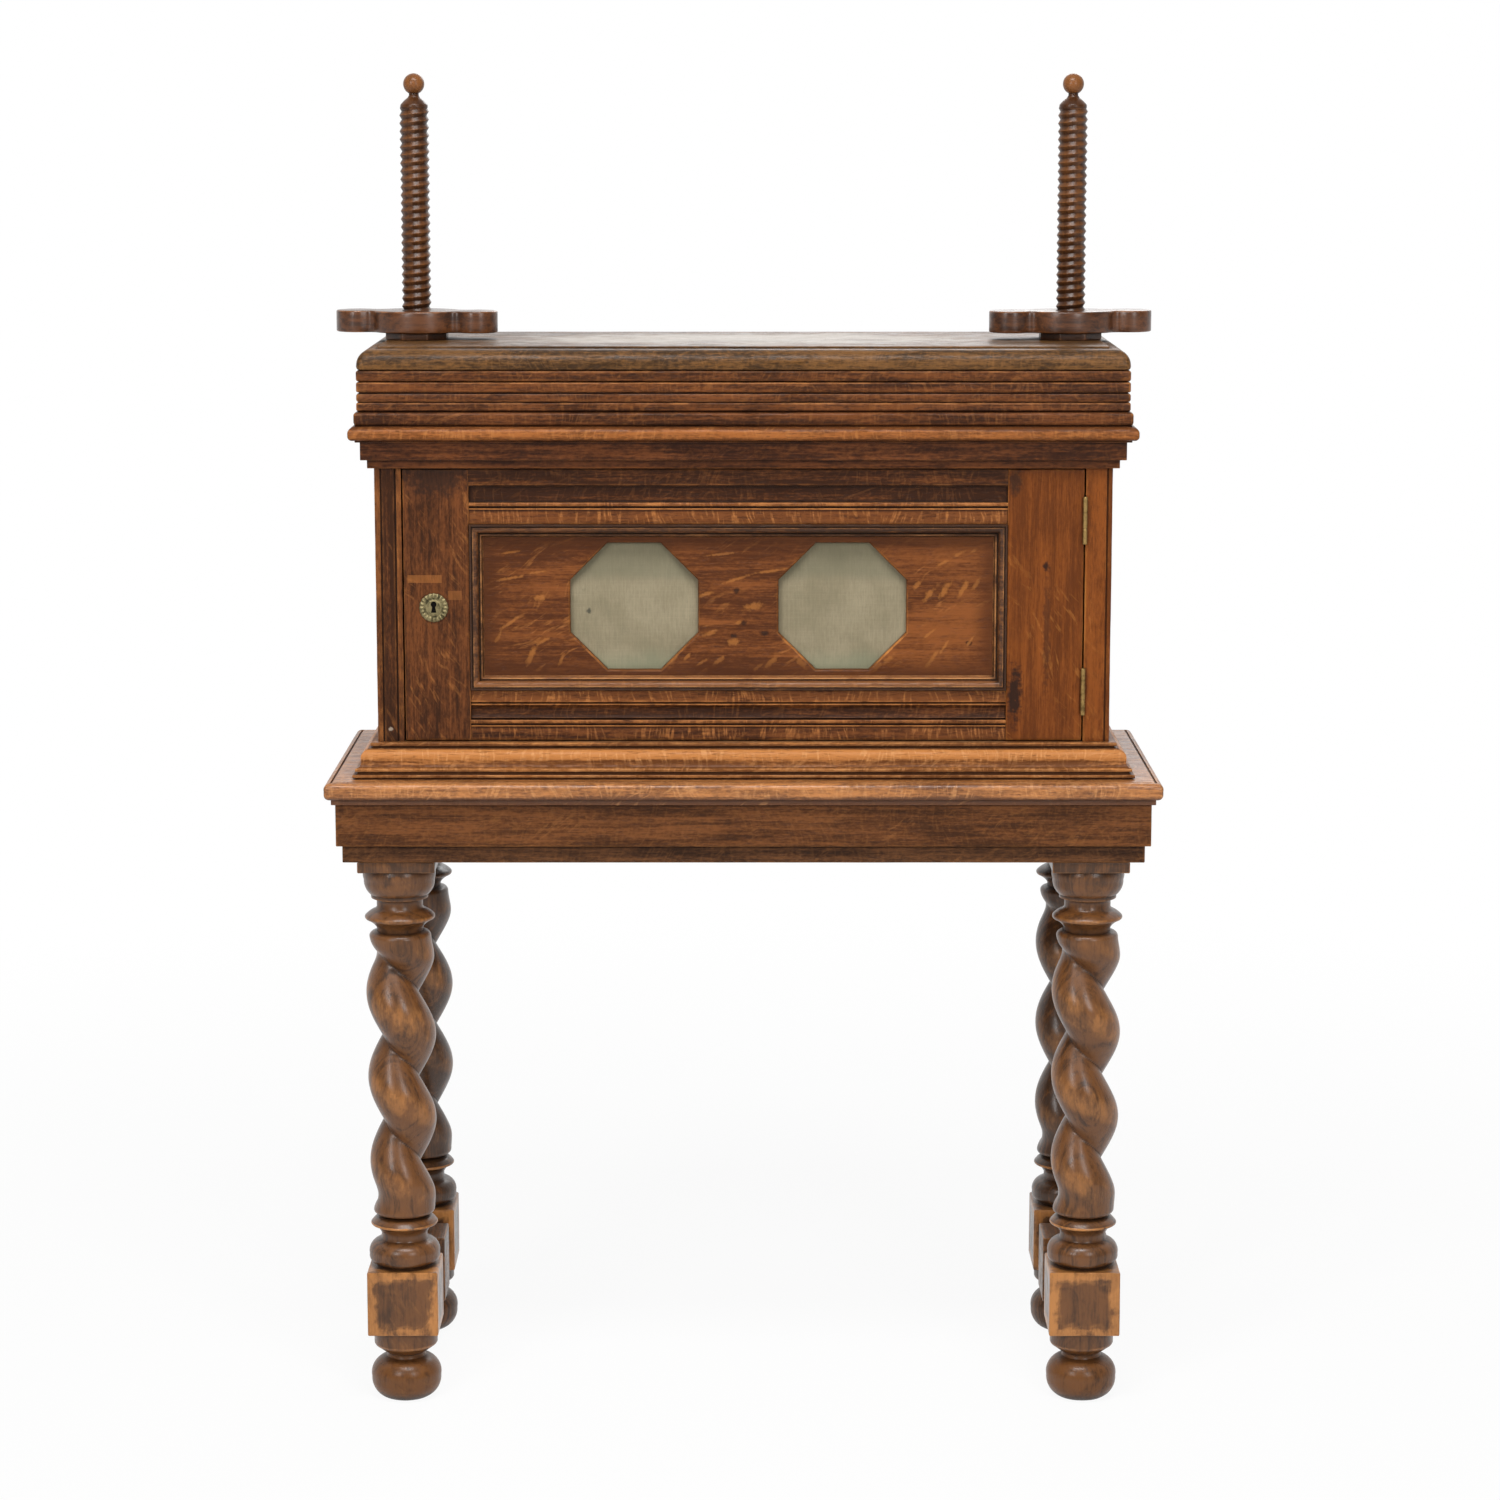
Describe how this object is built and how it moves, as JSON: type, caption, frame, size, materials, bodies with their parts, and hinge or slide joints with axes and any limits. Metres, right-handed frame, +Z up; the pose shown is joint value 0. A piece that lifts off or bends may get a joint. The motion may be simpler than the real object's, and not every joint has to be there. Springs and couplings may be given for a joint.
{
  "type": "linen press",
  "caption": "Oak linen press: boards clamped by wing nuts on upright wooden screws over a one-door cabinet with octagonal cloth windows, on a stand with twisted legs.",
  "frame": {"origin": "on the floor, under the middle of the stand", "axes": "+Z up, +Y towards the back so the door faces -Y, +X towards the hinge side of the door"},
  "size_m": [0.88, 0.36, 1.4191],
  "materials": {
    "oak": "dark stained oak, waxed to a satin shine",
    "brass": "old lacquered brass, dulled",
    "iron": "dark iron lock case",
    "linen": "plain woven linen, aged"
  },
  "bodies": {
    "press_frame": {"stand_top": "oak", "apron_rail_front": "oak", "apron_rail_back": "oak", "apron_rail_left": "oak", "apron_rail_right": "oak", "apron_bead_front": "oak", "apron_bead_back": "oak", "apron_bead_left": "oak", "apron_bead_right": "oak", "leg_front_left": "oak", "leg_front_right": "oak", "leg_back_left": "oak", "leg_back_right": "oak", "bun_foot_front_left": "oak", "bun_foot_front_right": "oak", "bun_foot_back_left": "oak", "bun_foot_back_right": "oak", "stretcher_left": "oak", "stretcher_right": "oak", "plinth_moulding_front": "oak", "plinth_moulding_left": "oak", "plinth_moulding_right": "oak", "plinth_rail_back": "oak", "cabinet_floor": "oak", "cabinet_side_left": "oak", "cabinet_side_right": "oak", "cabinet_back": "oak", "front_stile_left": "oak", "front_stile_right": "oak", "frieze_front": "oak", "frieze_left": "oak", "frieze_right": "oak", "cornice_board": "oak", "press_bed": "oak", "screw_left": "oak", "screw_right": "oak", "screw_pegs": "oak", "hinge_fixed_leaves": "brass", "hinge_pins": "brass", "lock_strike": "brass"},
    "door": {"door_stile_lock": "oak", "door_stile_hinge": "oak", "door_rail_top": "oak", "door_rail_bottom": "oak", "panel_moulding": "oak", "door_panel": "oak", "window_cloth_left": "linen", "window_cloth_right": "linen", "hinge_door_leaves": "brass", "escutcheon": "brass", "lock_case": "iron"},
    "lock_bolt": {"lock_bolt": "brass"},
    "top_board": {"press_board_top": "oak", "washer_left": "oak", "washer_right": "oak"},
    "middle_board": {"press_board_middle": "oak"},
    "lower_board": {"press_board_lower": "oak"},
    "left_nut": {"nut_left": "oak"},
    "right_nut": {"nut_right": "oak"}
  },
  "joints": [
    {"name": "door_hinge", "type": "hinge", "parent": "press_frame", "child": "door", "pos_m": [0.35775, -0.1314, 0.867], "axis": [0, 0, 1], "range_deg": [0, 165]},
    {"name": "bolt_throw", "type": "slide", "parent": "door", "child": "lock_bolt", "axis": [-1, 0, 0], "range_m": [0, 0.008]},
    {"name": "top_board_lift", "type": "slide", "parent": "press_frame", "child": "top_board", "axis": [0, 0, 1], "range_m": [0, 0.2016]},
    {"name": "middle_board_lift", "type": "slide", "parent": "press_frame", "child": "middle_board", "axis": [0, 0, 1], "range_m": [0, 0.1345]},
    {"name": "lower_board_lift", "type": "slide", "parent": "press_frame", "child": "lower_board", "axis": [0, 0, 1], "range_m": [0, 0.0673]},
    {"name": "left_nut_turn", "type": "hinge", "parent": "top_board", "child": "left_nut", "pos_m": [-0.35, 0, 1.1575], "axis": [0, 0, 1], "range_deg": [0, 8646]},
    {"name": "right_nut_turn", "type": "hinge", "parent": "top_board", "child": "right_nut", "pos_m": [0.35, 0, 1.1575], "axis": [0, 0, 1], "range_deg": [0, 8646]}
  ],
  "couplings": [
    {"joint": "left_nut_turn", "follows": "top_board_lift", "rad_per_m": 748},
    {"joint": "right_nut_turn", "follows": "top_board_lift", "rad_per_m": 748},
    {"joint": "middle_board_lift", "follows": "top_board_lift", "ratio": 0.66667},
    {"joint": "lower_board_lift", "follows": "top_board_lift", "ratio": 0.33333}
  ]
}
